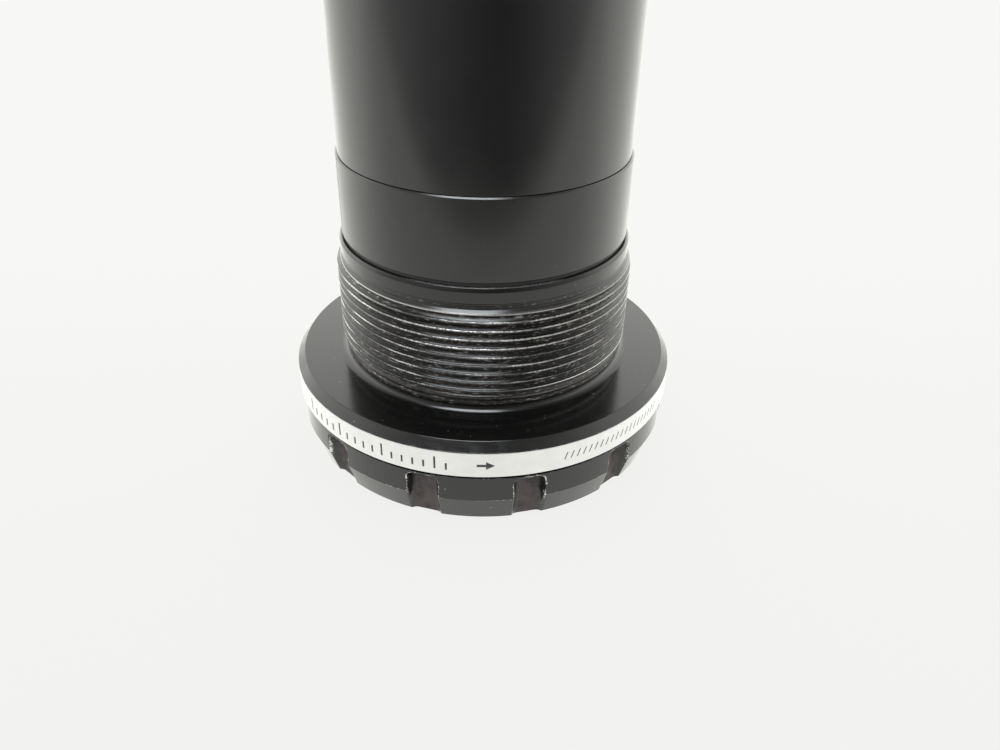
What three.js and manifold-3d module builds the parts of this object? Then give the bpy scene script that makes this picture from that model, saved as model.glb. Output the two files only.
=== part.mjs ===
// Threaded external-cup bottom bracket for a 30 mm crank spindle.
// Two screwed cups, each with a sealed ball bearing, joined by a sleeve with a collar at either end.
// Millimetres. Z is the spindle axis, +Z up, and the origin is the centre of the drive cup's outer face.
// One side is drawn once, from its outer face at z = 0 inwards, and the other is the same side turned over.

import * as THREE from "three";
import { mergeVertices } from "three/addons/utils/BufferGeometryUtils.js";
import Module from "manifold-3d";

const wasm = await Module();
wasm.setup();

// Driving dimensions
const SHELL_WIDTH = 73;
const FLANGE_HEIGHT = 11;
const OVERALL_LENGTH = SHELL_WIDTH + 2 * FLANGE_HEIGHT;

const SEGMENTS = 36;
const SEAT_GAP = 0.05;

// Cup outside
const RIM_RADIUS = 21.9;
const RING_RADIUS = 22.95;
const RING_TAPER_HEIGHT = 3.3;
const RING_TOP = 6.2;
const GROOVE_RADIUS = 22.6;
const BAND_BOTTOM = 6.83;
const BAND_TOP = 9.97;
const FLANGE_RADIUS = 23.2;
const SHOULDER_RADIUS = 22.3;
const CUP_LENGTH = 26;

// Screw thread, 1.37 inch by 24 turns to the inch
const INCH = 25.4;
const THREAD_PITCH = INCH / 24;
const CREST_RADIUS = 17.4;
const ROOT_RADIUS = 16.75;
const THREAD_BOTTOM = 11.55;
const RUN_OUT_TOP = 13.9;
const THREAD_TOP = 23.1;
const CREST_HEIGHT_AT_FRONT = 22.31;
const ROWS_PER_TURN = 2;
const SPARE_TURNS = 2;
const RELIEF_RADIUS = 16.9;
const RELIEF_BOTTOM = 11.4;
const FILLET_RADIUS = 17.45;

// Plain lip beyond the thread
const NECK_RADIUS = 16.5;
const NECK_BOTTOM = 23.6;
const NECK_TOP = 24.2;
const LIP_RADIUS = 17.15;
const LIP_BOTTOM = 24.45;
const LIP_SHOULDER = 25.6;
const LIP_TOP_RADIUS = 16.85;
const LIP_MOUTH_RADIUS = 16.43;
const MOUTH_DEPTH = 0.55;

// Tool notches round the ring
const NOTCH_COUNT = 12;
const NOTCH_PHASE_DEG = 13;
const NOTCH_WIDTH = 3.6;
const NOTCH_FLOOR_RADIUS = 21.45;
const NOTCH_HEIGHT = 6;
const NOTCH_CORNER = 0.7;

// Sealed ball bearing, 30 x 42 x 7
const BEARING_BORE_RADIUS = 15;
const BEARING_OUTER_RADIUS = 21;
const BEARING_WIDTH = 7;
const BEARING_START = 1.8;
const PITCH_RADIUS = 18;
const BALL_RADIUS = 3.572 / 2;
const BALL_COUNT = 18;
const RACE_RADIUS = 2;
const INNER_LAND_RADIUS = 17.05;
const OUTER_LAND_RADIUS = 18.95;
const SEAL_SEAT_RADIUS = 19.6;
const SEAL_SEAT_DEPTH = 0.85;
const SEAL_THICKNESS = 0.65;
const SEAL_INSET = 0.1;
const SEAL_LIP_RADIUS = 17.2;
const CAGE_INNER_RADIUS = 17.4;
const CAGE_OUTER_RADIUS = 18.6;
const CAGE_HALF_WIDTH = 2.5;
const POCKET_RADIUS = 2.15;
const POCKET_SIDES = 6;

// Cup inside
const CUP_BORE_RADIUS = 15.95;
const BEARING_STOP_RADIUS = 19.9;
const BEARING_STOP_DEPTH = 0.45;

// Dust cover
const COVER_START = 0.25;
const COVER_DISC = 0.8;
const COVER_RADIUS = 20.5;
const COVER_EDGE = 0.25;
const COVER_BORE_RADIUS = 15.05;
const COVER_HUB_RADIUS = 16.9;

// Sleeve: a collar at each end of a plain tube
const COLLAR_START = 26.55;
const COLLAR_END = 35.47;
const COLLAR_RADIUS = 16.53;
const COLLAR_EDGE = 0.12;
const SLEEVE_BORE_RADIUS = 15.1;
const CUP_SPIGOT_RADIUS = 15.6;
const CUP_SPIGOT_LENGTH = 12.5;
const TUBE_SPIGOT_RADIUS = 15.55;
const TUBE_SPIGOT_LENGTH = 7;
const TUBE_RADIUS = 16.29;
const TUBE_BORE_RADIUS = 15.62;
const TUBE_GAP = 0.04;
const O_RING_SECTION_RADIUS = 0.375;
const O_RING_SIDES = 6;

// Label band
const LABEL_THICKNESS = 0.14;
const LABEL_PROUD = 0.01;
const LABEL_SEAT_GAP = 0.02;
const LABEL_EDGE_GAP = 0.03;

const BEARING_END = BEARING_START + BEARING_WIDTH;
const BEARING_MIDDLE = BEARING_START + BEARING_WIDTH / 2;
const LABEL_OUTER_RADIUS = FLANGE_RADIUS + LABEL_PROUD;
const LABEL_INNER_RADIUS = LABEL_OUTER_RADIUS - LABEL_THICKNESS;
const BAND_SEAT_RADIUS = LABEL_INNER_RADIUS - LABEL_SEAT_GAP;
const FRONT_TURNS = Math.ceil((CREST_HEIGHT_AT_FRONT - THREAD_BOTTOM) / THREAD_PITCH) + SPARE_TURNS;
const THREAD_TURNS = Math.ceil((NECK_BOTTOM - THREAD_BOTTOM) / THREAD_PITCH) + 2 * SPARE_TURNS;
const THREAD_ROWS = THREAD_TURNS * ROWS_PER_TURN;
const PAST_FACE = 2;
const MERGE_DISTANCE = 1e-4;

// Materials
const BLACK_ANODISED = finish(0x1b1c1d, 0.38, 0.75);
const BLACK_PLASTIC = finish(0x202122, 0.5, 0);
const TUBE_BLACK = finish(0x1d1e1f, 0.45, 0.1);
const LABEL_WHITE = finish(0xe9e9e6, 0.4, 0);
const RUBBER = finish(0x141414, 0.8, 0);
const RING_STEEL = finish(0xb4b6b8, 0.25, 1);
const BALL_STEEL = finish(0xd6d8da, 0.08, 1);
const CAGE_NYLON = finish(0x8a7a55, 0.6, 0);

function finish(color, roughness, metalness) {
  return new THREE.MeshStandardMaterial({ color, roughness, metalness });
}

// Geometry helpers

// A body of revolution about Z. The outline holds [radius, height] pairs, from the bottom up on its outside.
// Its first column of points faces the front, -Y, and the columns go round to the right, +X.
function turned(outline) {
  const points = outline.map(([radius, height]) => new THREE.Vector2(radius, height));
  const geometry = new THREE.LatheGeometry(points, SEGMENTS);
  geometry.rotateX(Math.PI / 2);
  return geometry;
}

// A ring whose section is a closed outline clear of the axis.
function ring(outline) {
  return turned([...outline, outline[0]]);
}

// A ring of rectangular section.
function plainRing(innerRadius, outerRadius, bottom, top) {
  return ring([
    [outerRadius, bottom],
    [outerRadius, top],
    [innerRadius, top],
    [innerRadius, bottom],
  ]);
}

// A closed mesh as a solid for cutting. Triangles whose corners have met are left out.
function solidOf(geometry) {
  const bare = geometry.clone();
  bare.deleteAttribute("normal");
  bare.deleteAttribute("uv");
  const merged = mergeVertices(bare, MERGE_DISTANCE);
  const corners = merged.index.array;
  const kept = [];
  for (let i = 0; i < corners.length; i += 3) {
    const [a, b, c] = corners.slice(i, i + 3);
    if (a !== b && b !== c && c !== a) kept.push(a, b, c);
  }
  const mesh = new wasm.Mesh({
    numProp: 3,
    vertProperties: merged.attributes.position.array,
    triVerts: new Uint32Array(kept),
  });
  return new wasm.Manifold(mesh);
}

function geometryOf(solid) {
  const mesh = solid.getMesh();
  const geometry = new THREE.BufferGeometry();
  geometry.setAttribute("position", new THREE.BufferAttribute(mesh.vertProperties, 3));
  geometry.setIndex(new THREE.BufferAttribute(mesh.triVerts, 1));
  geometry.computeVertexNormals();
  return geometry;
}

function piece(name, geometry, material) {
  const mesh = new THREE.Mesh(geometry, material);
  mesh.name = name;
  return mesh;
}

// Cup

// The largest radius of the thread at a height. It runs out towards the flange, and its start is chamfered.
function threadLimit(height) {
  const runOut = THREE.MathUtils.mapLinear(height, THREAD_BOTTOM, RUN_OUT_TOP, RELIEF_RADIUS, CREST_RADIUS);
  const start = THREE.MathUtils.mapLinear(height, NECK_BOTTOM, THREAD_TOP, NECK_RADIUS, CREST_RADIUS);
  return Math.min(runOut, start);
}

// Where a row of the thread lies, a part of a turn round from the front. Even rows are crests, odd ones roots.
// hand is 1 for a right-hand thread and -1 for a left-hand one. Rows past an end of the thread gather there.
function threadPoint(row, turn, hand) {
  const turnsUp = row / ROWS_PER_TURN - FRONT_TURNS + hand * turn;
  const height = CREST_HEIGHT_AT_FRONT + turnsUp * THREAD_PITCH;
  const kept = THREE.MathUtils.clamp(height, THREAD_BOTTOM, NECK_BOTTOM);
  const limit = threadLimit(kept);
  const full = row % ROWS_PER_TURN === 0 ? CREST_RADIUS : ROOT_RADIUS;
  return [kept === height ? Math.min(full, limit) : limit, kept];
}

// The cup's outside as one body of revolution, in which the rows of the thread climb as they go round.
function cupOutside(hand) {
  const flange = [
    [0, 0],
    [RIM_RADIUS, 0],
    [RING_RADIUS, RING_TAPER_HEIGHT],
    [RING_RADIUS, RING_TOP],
    [GROOVE_RADIUS, RING_TOP],
    [GROOVE_RADIUS, BAND_BOTTOM],
    [BAND_SEAT_RADIUS, BAND_BOTTOM],
    [BAND_SEAT_RADIUS, BAND_TOP],
    [FLANGE_RADIUS, BAND_TOP],
    [SHOULDER_RADIUS, FLANGE_HEIGHT],
    [FILLET_RADIUS, FLANGE_HEIGHT],
    [RELIEF_RADIUS, RELIEF_BOTTOM],
    [RELIEF_RADIUS, THREAD_BOTTOM],
  ];
  const lip = [
    [NECK_RADIUS, NECK_BOTTOM],
    [NECK_RADIUS, NECK_TOP],
    [LIP_RADIUS, LIP_BOTTOM],
    [LIP_RADIUS, LIP_SHOULDER],
    [LIP_TOP_RADIUS, CUP_LENGTH],
    [0, CUP_LENGTH],
  ];
  const thread = [];
  for (let row = 0; row < THREAD_ROWS; row += 1) thread.push(threadPoint(row, 0, hand));
  const outline = [...flange, ...thread, ...lip];
  const geometry = turned(outline);
  const position = geometry.attributes.position;
  for (let column = 0; column <= SEGMENTS; column += 1) {
    const turn = column / SEGMENTS;
    const angle = turn * 2 * Math.PI;
    for (let row = 0; row < THREAD_ROWS; row += 1) {
      const [radius, height] = threadPoint(row, turn, hand);
      const index = column * outline.length + flange.length + row;
      position.setXYZ(index, radius * Math.sin(angle), -radius * Math.cos(angle), height);
    }
  }
  return geometry;
}

function cupInside() {
  const seatRadius = BEARING_OUTER_RADIUS + SEAT_GAP;
  const seatEnd = BEARING_END + SEAT_GAP;
  const stopEnd = seatEnd + BEARING_STOP_DEPTH;
  return turned(
    [
      [0, -PAST_FACE],
      [seatRadius, -PAST_FACE],
      [seatRadius, seatEnd],
      [BEARING_STOP_RADIUS, seatEnd],
      [BEARING_STOP_RADIUS, stopEnd],
      [CUP_BORE_RADIUS, stopEnd],
      [CUP_BORE_RADIUS, CUP_LENGTH - MOUTH_DEPTH],
      [LIP_MOUTH_RADIUS, CUP_LENGTH],
      [LIP_MOUTH_RADIUS, CUP_LENGTH + PAST_FACE],
      [0, CUP_LENGTH + PAST_FACE],
    ],
  );
}

function notchCutter() {
  const halfWidth = NOTCH_WIDTH / 2;
  const cornerAt = halfWidth - NOTCH_CORNER;
  const cornerHeight = NOTCH_HEIGHT - NOTCH_CORNER;
  const outline = new THREE.Shape();
  outline.moveTo(-halfWidth, -PAST_FACE);
  outline.lineTo(halfWidth, -PAST_FACE);
  outline.lineTo(halfWidth, cornerHeight);
  outline.absarc(cornerAt, cornerHeight, NOTCH_CORNER, 0, Math.PI / 2, false);
  outline.absarc(-cornerAt, cornerHeight, NOTCH_CORNER, Math.PI / 2, Math.PI, false);
  outline.closePath();
  const depth = FLANGE_RADIUS - NOTCH_FLOOR_RADIUS + PAST_FACE;
  const cutter = new THREE.ExtrudeGeometry(outline, { depth, bevelEnabled: false, curveSegments: 2 });
  cutter.rotateX(Math.PI / 2);
  cutter.translate(0, -NOTCH_FLOOR_RADIUS, 0);
  return cutter;
}

function cup(hand) {
  let body = solidOf(cupOutside(hand));
  for (let i = 0; i < NOTCH_COUNT; i += 1) {
    const cutter = notchCutter();
    cutter.rotateZ(THREE.MathUtils.degToRad(NOTCH_PHASE_DEG + (i * 360) / NOTCH_COUNT));
    body = body.subtract(solidOf(cutter));
  }
  return geometryOf(body.subtract(solidOf(cupInside())));
}

function labelBand() {
  const bottom = BAND_BOTTOM + LABEL_EDGE_GAP;
  const top = BAND_TOP - LABEL_EDGE_GAP;
  return plainRing(LABEL_INNER_RADIUS, LABEL_OUTER_RADIUS, bottom, top);
}

// Bearing

// Points of a ball groove, from land to land. side is 1 for the outer ring and -1 for the inner one.
function raceway(landRadius, side, direction) {
  const reach = side * (landRadius - PITCH_RADIUS);
  const edgeAngle = Math.acos(reach / RACE_RADIUS);
  return [-edgeAngle, 0, edgeAngle].map((angle) => [
    PITCH_RADIUS + side * RACE_RADIUS * Math.cos(angle),
    BEARING_MIDDLE + direction * RACE_RADIUS * Math.sin(angle),
  ]);
}

function outerRing() {
  const lowerSeat = BEARING_START + SEAL_SEAT_DEPTH;
  const upperSeat = BEARING_END - SEAL_SEAT_DEPTH;
  return ring(
    [
      [BEARING_OUTER_RADIUS, BEARING_START],
      [BEARING_OUTER_RADIUS, BEARING_END],
      [SEAL_SEAT_RADIUS, BEARING_END],
      [SEAL_SEAT_RADIUS, upperSeat],
      [OUTER_LAND_RADIUS, upperSeat],
      ...raceway(OUTER_LAND_RADIUS, 1, -1),
      [OUTER_LAND_RADIUS, lowerSeat],
      [SEAL_SEAT_RADIUS, lowerSeat],
      [SEAL_SEAT_RADIUS, BEARING_START],
    ],
  );
}

function innerRing() {
  return ring(
    [
      [INNER_LAND_RADIUS, BEARING_START],
      ...raceway(INNER_LAND_RADIUS, -1, 1),
      [INNER_LAND_RADIUS, BEARING_END],
      [BEARING_BORE_RADIUS, BEARING_END],
      [BEARING_BORE_RADIUS, BEARING_START],
    ],
  );
}

function cage() {
  const bottom = BEARING_MIDDLE - CAGE_HALF_WIDTH;
  const top = BEARING_MIDDLE + CAGE_HALF_WIDTH;
  const band = plainRing(CAGE_INNER_RADIUS, CAGE_OUTER_RADIUS, bottom, top);
  let body = solidOf(band);
  for (let i = 0; i < BALL_COUNT; i += 1) {
    const pocket = new THREE.CylinderGeometry(POCKET_RADIUS, POCKET_RADIUS, BEARING_WIDTH, POCKET_SIDES);
    pocket.translate(0, PITCH_RADIUS, 0);
    pocket.rotateZ((i * 2 * Math.PI) / BALL_COUNT);
    pocket.translate(0, 0, BEARING_MIDDLE);
    body = body.subtract(solidOf(pocket));
  }
  return geometryOf(body);
}

function seal(bottom) {
  const outerRadius = SEAL_SEAT_RADIUS - SEAT_GAP;
  return plainRing(SEAL_LIP_RADIUS, outerRadius, bottom, bottom + SEAL_THICKNESS);
}

function balls(side) {
  const group = new THREE.Group();
  for (let i = 0; i < BALL_COUNT; i += 1) {
    const angle = (i * 2 * Math.PI) / BALL_COUNT;
    const number = String(i + 1).padStart(2, "0");
    const ball = piece(`${side}_ball_${number}`, new THREE.OctahedronGeometry(BALL_RADIUS, 1), BALL_STEEL);
    ball.position.set(-PITCH_RADIUS * Math.sin(angle), PITCH_RADIUS * Math.cos(angle), BEARING_MIDDLE);
    ball.rotation.z = angle;
    group.add(ball);
  }
  return group;
}

// A flat disc with a hub that bears on the bearing's inner ring.
function dustCover() {
  const discEnd = COVER_START + COVER_DISC;
  const hubEnd = BEARING_START - SEAT_GAP;
  return ring(
    [
      [COVER_RADIUS - COVER_EDGE, COVER_START],
      [COVER_RADIUS, COVER_START + COVER_EDGE],
      [COVER_RADIUS, discEnd],
      [COVER_HUB_RADIUS, discEnd],
      [COVER_HUB_RADIUS, hubEnd],
      [COVER_BORE_RADIUS, hubEnd],
      [COVER_BORE_RADIUS, COVER_START],
    ],
  );
}

// Sleeve

function sleeveCollar() {
  return ring(
    [
      [CUP_SPIGOT_RADIUS, COLLAR_START - CUP_SPIGOT_LENGTH],
      [CUP_SPIGOT_RADIUS, COLLAR_START],
      [COLLAR_RADIUS, COLLAR_START],
      [COLLAR_RADIUS, COLLAR_END - COLLAR_EDGE],
      [COLLAR_RADIUS - COLLAR_EDGE, COLLAR_END],
      [TUBE_SPIGOT_RADIUS, COLLAR_END],
      [TUBE_SPIGOT_RADIUS, COLLAR_END + TUBE_SPIGOT_LENGTH],
      [SLEEVE_BORE_RADIUS, COLLAR_END + TUBE_SPIGOT_LENGTH],
      [SLEEVE_BORE_RADIUS, COLLAR_START - CUP_SPIGOT_LENGTH],
    ],
  );
}

// Rubber ring squeezed between the collar and the chamfered mouth of the cup.
function sleeveORing() {
  const sectionRadius = CUP_SPIGOT_RADIUS + SEAT_GAP + O_RING_SECTION_RADIUS;
  const sectionHeight = COLLAR_START - SEAT_GAP - O_RING_SECTION_RADIUS;
  const outline = [];
  for (let i = 0; i < O_RING_SIDES; i += 1) {
    const angle = ((i + 0.5) * 2 * Math.PI) / O_RING_SIDES;
    const radius = sectionRadius + O_RING_SECTION_RADIUS * Math.cos(angle);
    outline.push([radius, sectionHeight + O_RING_SECTION_RADIUS * Math.sin(angle)]);
  }
  return ring(outline);
}

function centreTube() {
  const bottom = COLLAR_END + TUBE_GAP;
  const top = OVERALL_LENGTH - bottom;
  return plainRing(TUBE_BORE_RADIUS, TUBE_RADIUS, bottom, top);
}

// Assembly

function makeSide(side, hand) {
  const group = new THREE.Group();
  group.add(
    piece(`${side}_cup`, cup(hand), BLACK_ANODISED),
    piece(`${side}_label_band`, labelBand(), LABEL_WHITE),
    piece(`${side}_bearing_outer_ring`, outerRing(), RING_STEEL),
    piece(`${side}_bearing_inner_ring`, innerRing(), RING_STEEL),
    piece(`${side}_bearing_cage`, cage(), CAGE_NYLON),
    piece(`${side}_seal_outboard`, seal(BEARING_START + SEAL_INSET), RUBBER),
    piece(`${side}_seal_inboard`, seal(BEARING_END - SEAL_INSET - SEAL_THICKNESS), RUBBER),
    piece(`${side}_dust_cover`, dustCover(), BLACK_PLASTIC),
    piece(`${side}_sleeve_collar`, sleeveCollar(), BLACK_PLASTIC),
    piece(`${side}_sleeve_o_ring`, sleeveORing(), RUBBER),
    balls(side),
  );
  return group;
}

// The drive side's cup has a left-hand thread and the other a right-hand one, as in an English frame shell.
const driveSide = makeSide("drive", -1);

const nonDriveSide = makeSide("non_drive", 1);
nonDriveSide.position.z = OVERALL_LENGTH;
nonDriveSide.rotation.x = Math.PI;

const bottomBracket = new THREE.Group();
bottomBracket.add(driveSide, nonDriveSide, piece("centre_tube", centreTube(), TUBE_BLACK));

export default bottomBracket;
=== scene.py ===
"""Looks of a threaded external-cup bottom bracket: two notched cups, their bearings and the sleeve between.

Shapes are worked out in millimetres in the frame of one side, whose outer face is at height 0. The other side
is the same one turned end for end about X, with the other hand of thread.
"""

import functools
import math

import bmesh
import bpy
import numpy as np
from mathutils import Matrix, Vector


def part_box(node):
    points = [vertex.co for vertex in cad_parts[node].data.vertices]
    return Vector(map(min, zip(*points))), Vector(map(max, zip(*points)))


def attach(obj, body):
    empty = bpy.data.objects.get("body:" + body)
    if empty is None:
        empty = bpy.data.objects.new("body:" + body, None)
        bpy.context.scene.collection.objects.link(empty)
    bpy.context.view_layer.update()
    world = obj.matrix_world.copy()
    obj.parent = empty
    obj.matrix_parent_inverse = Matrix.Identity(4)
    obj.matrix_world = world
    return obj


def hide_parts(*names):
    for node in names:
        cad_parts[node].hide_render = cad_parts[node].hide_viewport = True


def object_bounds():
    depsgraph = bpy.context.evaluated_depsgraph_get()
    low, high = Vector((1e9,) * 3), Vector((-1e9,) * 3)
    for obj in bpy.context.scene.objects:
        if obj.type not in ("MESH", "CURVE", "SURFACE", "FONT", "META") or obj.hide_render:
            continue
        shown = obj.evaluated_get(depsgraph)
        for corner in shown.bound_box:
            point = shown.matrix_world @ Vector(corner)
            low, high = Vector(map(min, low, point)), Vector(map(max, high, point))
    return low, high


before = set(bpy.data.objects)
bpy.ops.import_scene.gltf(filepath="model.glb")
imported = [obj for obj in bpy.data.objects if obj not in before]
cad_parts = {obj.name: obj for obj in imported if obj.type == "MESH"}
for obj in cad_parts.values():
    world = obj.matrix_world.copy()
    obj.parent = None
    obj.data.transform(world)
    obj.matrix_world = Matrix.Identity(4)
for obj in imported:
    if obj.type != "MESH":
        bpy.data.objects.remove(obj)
cad_low, cad_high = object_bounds()

MM = 0.001
FULL_TURN = 2 * math.pi


def node_span(node):
    """Outer radius, lowest height and highest height of a CAD node, in millimetres."""
    low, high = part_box(node)
    return high.x / MM, low.z / MM, high.z / MM


OVERALL_LENGTH = (cad_high.z - cad_low.z) / MM

# Cup outside
LABEL_RADIUS, LABEL_BOTTOM, LABEL_TOP = node_span("drive_label_band")
CUP_LENGTH = node_span("drive_cup")[2]
FLANGE_RADIUS = 23.2
SHOULDER_RADIUS = 22.3
FLANGE_HEIGHT = 11.0
BAND_SEAT_RADIUS = 23.05
BAND_BOTTOM = 6.83
BAND_TOP = 9.97
GROOVE_RADIUS = 22.6
RING_RADIUS = 22.95
RING_TOP = 6.42
TAPER_HEIGHT = 3.3
RIM_RADIUS = 21.9

# Screw thread
THREAD_PITCH = 25.4 / 24
CREST_RADIUS = 17.4
ROOT_RADIUS = 16.75
RELIEF_RADIUS = 16.9
THREAD_BOTTOM = 11.85
RUN_OUT_TOP = 13.9
THREAD_TOP = 22.85
CREST_HEIGHT_AT_FRONT = 22.31
SPARE_TURNS = 2
FILLET_WIDTH = 0.95
SEAM_GAP = 0.05

# Plain lip and mouth of the cup
NECK_RADIUS = 16.65
NECK_BOTTOM = 23.55
NECK_TOP = 24.1
LIP_RADIUS = 16.88
LIP_BOTTOM = 24.3
LIP_SHOULDER = 25.6
LIP_TOP_RADIUS = 16.7
MOUTH_RADIUS = 16.43
MOUTH_BOTTOM = 25.45
CUP_BORE_RADIUS = 15.95

# Tool notches
NOTCH_COUNT = 12
NOTCH_PHASE = math.radians(13)
NOTCH_HALF_WIDTH = 1.8
NOTCH_FLOOR_RADIUS = 21.45
NOTCH_HEIGHT = 6.2
NOTCH_CORNER = 1.0
NOTCH_WALL = 0.9
NOTCH_REFERENCE_RADIUS = 22.4

# Bearing
BEARING_RADIUS, BEARING_BOTTOM, BEARING_TOP = node_span("drive_bearing_outer_ring")
BEARING_MIDDLE = (BEARING_BOTTOM + BEARING_TOP) / 2
BEARING_BORE = 15.0
PITCH_RADIUS = 18.0
BALL_RADIUS = 3.572 / 2
BALL_COUNT = 18
RACE_RADIUS = 2.0
INNER_LAND_START = 1.8
INNER_LAND = 17.05
OUTER_LAND = 18.95
SEAL_SEAT_RADIUS = 19.6
SEAL_SEAT_DEPTH = 0.85
SEAL_RADIUS = node_span("drive_seal_outboard")[0]
SEAL_LIP_RADIUS = 17.2
CAGE_RADIUS, CAGE_BOTTOM, CAGE_TOP = node_span("drive_bearing_cage")
CAGE_INNER_RADIUS = 17.4
POCKET_RADIUS = 1.95
POCKET_DEPTH = 3
SEAT_RADIUS = 21.05
SEAT_END = 8.85
STOP_RADIUS = 19.9
STOP_END = 9.3

# Dust cover
COVER_RADIUS, COVER_BOTTOM, COVER_HUB_TOP = node_span("drive_dust_cover")
COVER_DISC_TOP = COVER_BOTTOM + 0.8
COVER_BORE = 15.05
COVER_HUB_RADIUS = 16.9

# Sleeve
COLLAR_RADIUS, SPIGOT_BOTTOM, SPIGOT_TOP = node_span("drive_sleeve_collar")
COLLAR_BOTTOM = 26.45
COLLAR_TOP = 35.47
COLLAR_CHAMFER = 0.15
SLEEVE_BORE = 15.1
CUP_SPIGOT_RADIUS = 15.6
TUBE_SPIGOT_RADIUS = 15.55
TUBE_RADIUS, TUBE_BOTTOM, TUBE_TOP = node_span("centre_tube")
TUBE_BORE = 15.62
O_RING_RADIUS = 0.375

# Fineness of the meshes
SUPPORT_ROW = 0.03
ROW_SNAP = 0.05
START_ROWS = 12
START_TURNS = 4
ARC_STEP = math.radians(24)
GROOVE_STEPS = 14
SHARP_ANGLE = math.radians(40)
WELD = 0.0005


# Shapes


def rounded(corners, closed=False):
    """An outline with arcs at its corners. Each corner is (radius, height, corner radius).

    A point stands just before and just after each arc, which keeps the flats between them looking flat.
    """
    points = []
    count = len(corners)
    for i, (radius, height, bend) in enumerate(corners):
        here = np.array([radius, height])
        if bend == 0 or (not closed and i in (0, count - 1)):
            points.append(here)
            continue
        before = np.array(corners[i - 1][:2]) - here
        after = np.array(corners[(i + 1) % count][:2]) - here
        room_before, room_after = np.linalg.norm(before), np.linalg.norm(after)
        before, after = before / room_before, after / room_after
        inside = math.acos(float(np.clip(before @ after, -1, 1)))
        reach = min(bend / math.tan(inside / 2), 0.45 * room_before, 0.45 * room_after)
        bend = reach * math.tan(inside / 2)
        middle = here + (before + after) / np.linalg.norm(before + after) * bend / math.sin(inside / 2)
        start = here + before * reach
        turn = math.pi - inside
        steps = max(2, math.ceil(turn / ARC_STEP))
        first = start - middle
        side = first[0] * (here - start)[1] - first[1] * (here - start)[0]
        direction = 1 if side > 0 else -1
        points.append(start + before * min(SUPPORT_ROW, 0.3 * (room_before - reach)))
        for step in range(steps + 1):
            angle = direction * turn * step / steps
            spin = np.array([[math.cos(angle), -math.sin(angle)], [math.sin(angle), math.cos(angle)]])
            points.append(middle + spin @ first)
        points.append(here + after * (reach + min(SUPPORT_ROW, 0.3 * (room_after - reach))))
    return np.array(points)


def ring_outline(inner, outer, bottom, top, inner_bend, outer_bend):
    """The closed outline of a plain ring, with rounded corners."""
    corners = [(inner, bottom, inner_bend), (outer, bottom, outer_bend)]
    corners += [(outer, top, outer_bend), (inner, top, inner_bend)]
    return rounded(corners, closed=True)


def arc(centre_radius, centre_height, radius, start, end, steps):
    """Points of a circular arc in the section plane, from one angle to another."""
    angles = np.linspace(start, end, steps + 1)
    across, up = radius * np.cos(angles), radius * np.sin(angles)
    return np.stack([centre_radius + across, centre_height + up], axis=1)


def columns_of(outline, angles):
    """An outline's radii and heights, once for each angle."""
    return np.repeat(outline.T[:, None, :], len(angles), axis=1)


def place_columns(radius, height, angles):
    """Columns of radius and height as (x, y, z), at angles measured from the front to the right."""
    turned = angles[:, None]
    return np.stack([radius * np.sin(turned), -radius * np.cos(turned), height], axis=2)


def even_angles(count):
    return np.arange(count) * FULL_TURN / count


class Surface:
    """Collects grids of points and the faces between them, then makes one mesh of them."""

    def __init__(self):
        self.points = []
        self.faces = []
        self.values = {}
        self.slots = []
        self.count = 0

    def add_points(self, grid, values=()):
        """Adds a grid (columns, rows, 3) and returns the index of each of its points."""
        flat, values = grid.reshape(-1, 3), dict(values)
        index = np.arange(len(flat)).reshape(grid.shape[:2]) + self.count
        for name in set(self.values) | set(values):
            whole = self.values.setdefault(name, [np.zeros(self.count)])
            whole.append(np.broadcast_to(values.get(name, 0.0), grid.shape[:2]).reshape(-1))
        self.points.append(flat)
        self.count += len(flat)
        return index

    def add_faces(self, index, close_rows=False, close_columns=True):
        """Faces between neighbouring columns, all the way round, and between neighbouring rows."""
        beside = np.roll(index, -1, axis=0)
        if not close_columns:
            index, beside = index[:-1], beside[:-1]
        if close_rows:
            above, beside_above = np.roll(index, -1, axis=1), np.roll(beside, -1, axis=1)
        else:
            above, beside_above = index[:, 1:], beside[:, 1:]
            index, beside = index[:, :-1], beside[:, :-1]
        quads = np.stack([index, beside, beside_above, above], axis=2).reshape(-1, 4)
        self.faces.extend(quads.tolist())
        self.slots.extend([0] * len(quads))

    def add_ring(self, radius, height, angles):
        """A closed ring, from columns that each go round its section."""
        self.add_faces(self.add_points(place_columns(radius, height, angles)), close_rows=True)

    def stitch(self, fine, coarse, share):
        """Joins a ring of many points to one that has a point for every share of them."""
        fine, coarse = list(fine), list(coarse)
        for i, corner in enumerate(coarse):
            beyond = coarse[(i + 1) % len(coarse)]
            reach = [fine[(i * share + k) % len(fine)] for k in range(share + 1)]
            self.faces.append([*reach, beyond, corner])
            self.slots.append(0)

    def patch(self, points, faces, slot):
        """Adds a loose patch of points and faces."""
        index = self.add_points(np.asarray(points)[None, :, :])
        self.faces.extend(index[0, list(face)].tolist() for face in faces)
        self.slots.extend([slot] * len(faces))

    def mesh(self, name, turned_over):
        points = np.concatenate(self.points)
        if turned_over:
            points = points * (1, -1, -1) + (0, 0, OVERALL_LENGTH)
        points = points * MM
        made = bpy.data.meshes.new(name)
        made.from_pydata(points.tolist(), [], self.faces)
        made.polygons.foreach_set("material_index", self.slots)
        for key, parts in self.values.items():
            attribute = made.attributes.new(key, "FLOAT", "POINT")
            attribute.data.foreach_set("value", np.concatenate(parts).astype(np.float32))
        shape = bmesh.new()
        shape.from_mesh(made)
        bmesh.ops.remove_doubles(shape, verts=shape.verts, dist=WELD * MM)
        bmesh.ops.dissolve_degenerate(shape, edges=shape.edges, dist=WELD * MM)
        bmesh.ops.recalc_face_normals(shape, faces=shape.faces)
        shape.to_mesh(made)
        shape.free()
        made.shade_smooth()
        return made


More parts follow.
